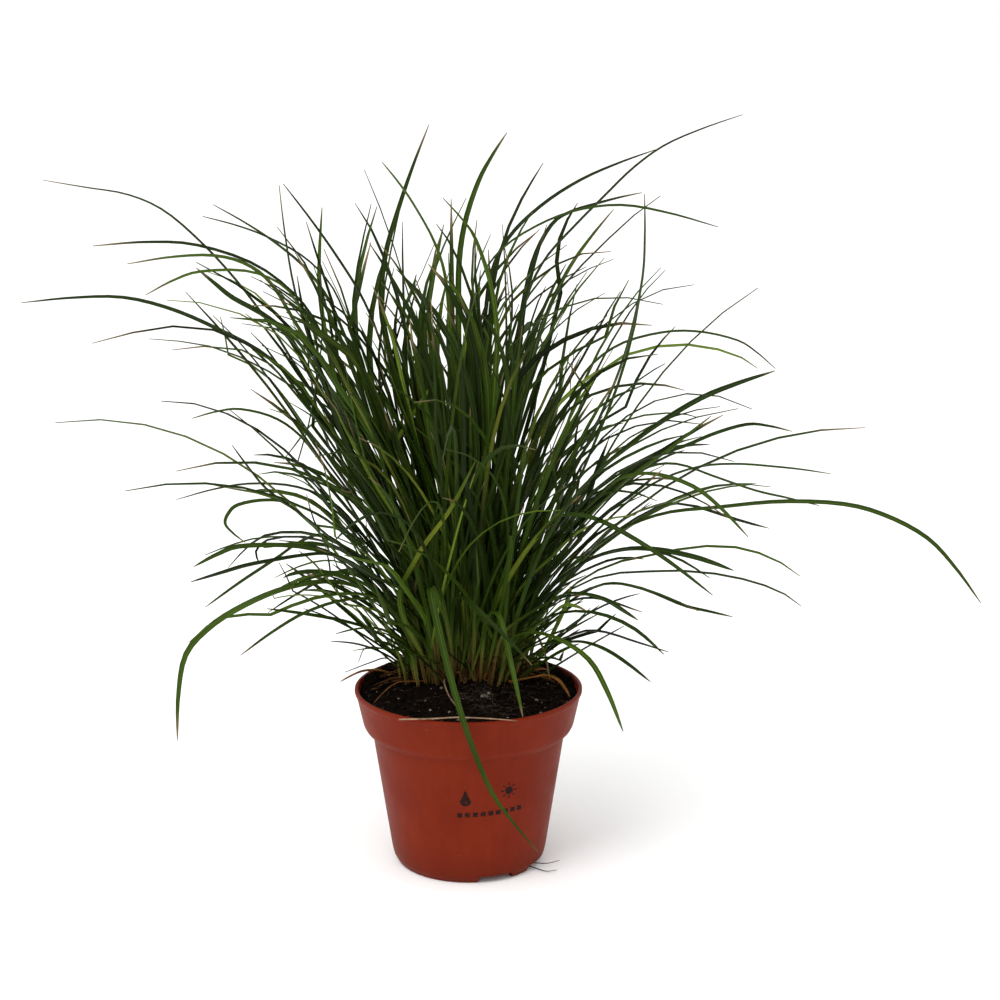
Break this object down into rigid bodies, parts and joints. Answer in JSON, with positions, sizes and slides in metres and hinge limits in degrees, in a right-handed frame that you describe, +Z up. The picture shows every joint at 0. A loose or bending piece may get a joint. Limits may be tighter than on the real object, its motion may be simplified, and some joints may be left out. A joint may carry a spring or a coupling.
{
  "type": "potted ornamental grass clump",
  "caption": "Clump of long narrow arching grass leaves growing from dark soil in a round tapered plastic nursery pot with a collar and a notched foot.",
  "frame": {"origin": "centre of the pot's foot, on the surface that the pot stands on", "axes": "+X along the clump's widest spread, -Y towards the side seen first, +Z up"},
  "size_m": [0.5096, 0.4005, 0.3894],
  "materials": {
    "pot_plastic": "satin",
    "potting_soil": "matte",
    "living_leaf": "satin",
    "dead_leaf": "matte",
    "root_fibre": "matte"
  },
  "bodies": {
    "root": {"dry_leaf_left": "dead_leaf", "dry_leaf_right": "dead_leaf", "dry_leaf_rim": "dead_leaf", "leaf_back_01": "living_leaf", "leaf_back_02": "living_leaf", "leaf_back_03": "living_leaf", "leaf_front_01": "living_leaf", "leaf_front_02": "living_leaf", "leaf_front_03": "living_leaf", "leaf_left_01": "living_leaf", "leaf_left_02": "living_leaf", "leaf_left_03": "living_leaf", "leaf_left_04": "living_leaf", "leaf_left_05": "living_leaf", "leaf_left_06": "living_leaf", "leaf_left_07": "living_leaf", "leaf_left_08": "living_leaf", "leaf_left_09": "living_leaf", "leaf_left_10": "living_leaf", "leaf_left_11": "living_leaf", "leaf_left_12": "living_leaf", "leaf_left_13": "living_leaf", "leaf_low_left_01": "living_leaf", "leaf_low_left_02": "living_leaf", "leaf_low_left_03": "living_leaf", "leaf_low_left_04": "living_leaf", "leaf_low_left_05": "living_leaf", "leaf_low_left_06": "living_leaf", "leaf_low_left_07": "living_leaf", "leaf_low_left_08": "living_leaf", "leaf_low_right_01": "living_leaf", "leaf_low_right_02": "living_leaf", "leaf_low_right_03": "living_leaf", "leaf_low_right_04": "living_leaf", "leaf_low_right_05": "living_leaf", "leaf_low_right_06": "living_leaf", "leaf_low_right_07": "living_leaf", "leaf_right_01": "living_leaf", "leaf_right_02": "living_leaf", "leaf_right_03": "living_leaf", "leaf_right_04": "living_leaf", "leaf_right_05": "living_leaf", "leaf_right_06": "living_leaf", "leaf_right_07": "living_leaf", "leaf_right_08": "living_leaf", "leaf_right_09": "living_leaf", "leaf_right_10": "living_leaf", "leaf_right_11": "living_leaf", "leaf_right_12": "living_leaf", "leaf_top_01": "living_leaf", "leaf_top_02": "living_leaf", "leaf_top_03": "living_leaf", "leaf_top_04": "living_leaf", "nursery_pot": "pot_plastic", "potting_soil": "potting_soil", "trailing_root_lower": "root_fibre", "trailing_root_upper": "root_fibre"}
  },
  "joints": []
}
